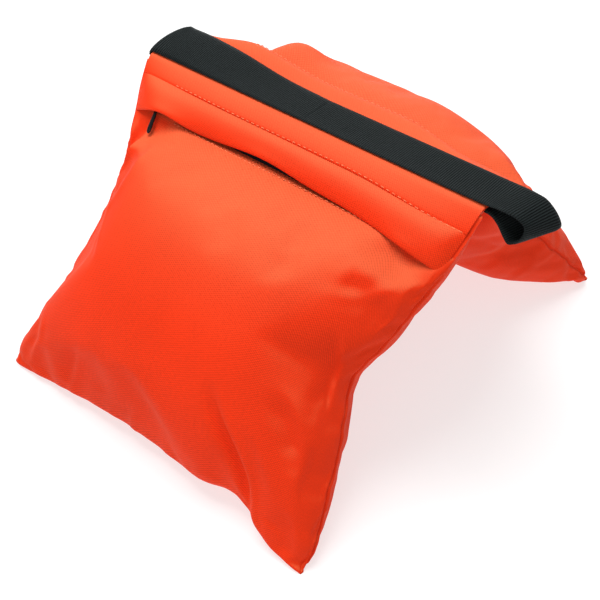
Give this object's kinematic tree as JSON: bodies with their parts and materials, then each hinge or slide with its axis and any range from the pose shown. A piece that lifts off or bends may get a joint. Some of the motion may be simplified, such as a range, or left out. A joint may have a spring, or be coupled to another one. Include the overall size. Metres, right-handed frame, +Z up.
{
  "type": "saddle sandbag",
  "caption": "Saddlebag-style sandbag for stands: two zipped, sand-filled cloth pouches joined by a saddle with a webbing carry handle, standing as a tent.",
  "frame": {"origin": "on the floor, at the bottom centre of the whole bag's box, between the two pouches", "axes": "+X along the saddle and the handle towards its slack loop, +Y towards the rear pouch, +Z up"},
  "size_m": [0.322, 0.3728, 0.1886],
  "materials": {
    "orange_cloth": "matte",
    "black_webbing": "matte",
    "thread": "matte",
    "zip_tape": "matte",
    "zip_teeth": "satin",
    "zip_metal": "gloss",
    "liner_film": "satin",
    "sand": "matte"
  },
  "bodies": {
    "saddle": {"saddle_panel": "orange_cloth", "saddle_lining": "orange_cloth", "handle_left_leg": "black_webbing", "handle_right_loop": "black_webbing", "handle_left_tack": "thread", "handle_right_tack": "thread"},
    "handle": {"handle_grip": "black_webbing"},
    "front_pouch": {"front_band": "orange_cloth", "front_flap_ends": "orange_cloth", "front_outer_panel": "orange_cloth", "front_inner_panel": "orange_cloth", "front_upper_tape": "zip_tape", "front_lower_tape": "zip_tape", "front_upper_teeth": "zip_teeth", "front_lower_teeth": "zip_teeth", "front_zip_stops": "zip_metal", "front_liner": "liner_film", "front_sand_fill": "sand"},
    "front_flap_body": {"front_flap": "orange_cloth"},
    "front_slider_body": {"front_slider": "zip_metal"},
    "front_pull_tab_body": {"front_pull_tab": "zip_metal"},
    "rear_pouch": {"rear_band": "orange_cloth", "rear_flap_ends": "orange_cloth", "rear_outer_panel": "orange_cloth", "rear_inner_panel": "orange_cloth", "rear_upper_tape": "zip_tape", "rear_lower_tape": "zip_tape", "rear_upper_teeth": "zip_teeth", "rear_lower_teeth": "zip_teeth", "rear_zip_stops": "zip_metal", "rear_liner": "liner_film", "rear_sand_fill": "sand"},
    "rear_flap_body": {"rear_flap": "orange_cloth"},
    "rear_slider_body": {"rear_slider": "zip_metal"},
    "rear_pull_tab_body": {"rear_pull_tab": "zip_metal"}
  },
  "joints": [
    {"name": "front_pouch_fold", "type": "hinge", "parent": "saddle", "child": "front_pouch", "pos_m": [-0.01748, -0.015, 0.1865], "axis": [-1, 0, 0], "range_deg": [-23, 48]},
    {"name": "front_flap_lift", "type": "hinge", "parent": "front_pouch", "child": "front_flap_body", "pos_m": [-0.01748, -0.02667, 0.17612], "axis": [-1, 0, 0], "range_deg": [0, 55]},
    {"name": "front_zip_slide", "type": "slide", "parent": "front_pouch", "child": "front_slider_body", "axis": [1, 0, 0], "range_m": [0, 0.218]},
    {"name": "front_pull_tab_swing", "type": "hinge", "parent": "front_slider_body", "child": "front_pull_tab_body", "pos_m": [-0.12848, -0.03644, 0.1694], "axis": [0, -0.7507, 0.6607], "range_deg": [-60, 60]},
    {"name": "rear_pouch_fold", "type": "hinge", "parent": "saddle", "child": "rear_pouch", "pos_m": [-0.01748, 0.015, 0.1865], "axis": [1, 0, 0], "range_deg": [-23, 48]},
    {"name": "rear_flap_lift", "type": "hinge", "parent": "rear_pouch", "child": "rear_flap_body", "pos_m": [-0.01748, 0.02667, 0.17612], "axis": [1, 0, 0], "range_deg": [0, 55]},
    {"name": "rear_zip_slide", "type": "slide", "parent": "rear_pouch", "child": "rear_slider_body", "axis": [1, 0, 0], "range_m": [0, 0.218]},
    {"name": "rear_pull_tab_swing", "type": "hinge", "parent": "rear_slider_body", "child": "rear_pull_tab_body", "pos_m": [-0.12848, 0.03644, 0.1694], "axis": [0, 0.7507, 0.6607], "range_deg": [-60, 60]},
    {"name": "handle_lift", "type": "slide", "parent": "saddle", "child": "handle", "axis": [0, 0, 1], "range_m": [0, 0.05]}
  ]
}
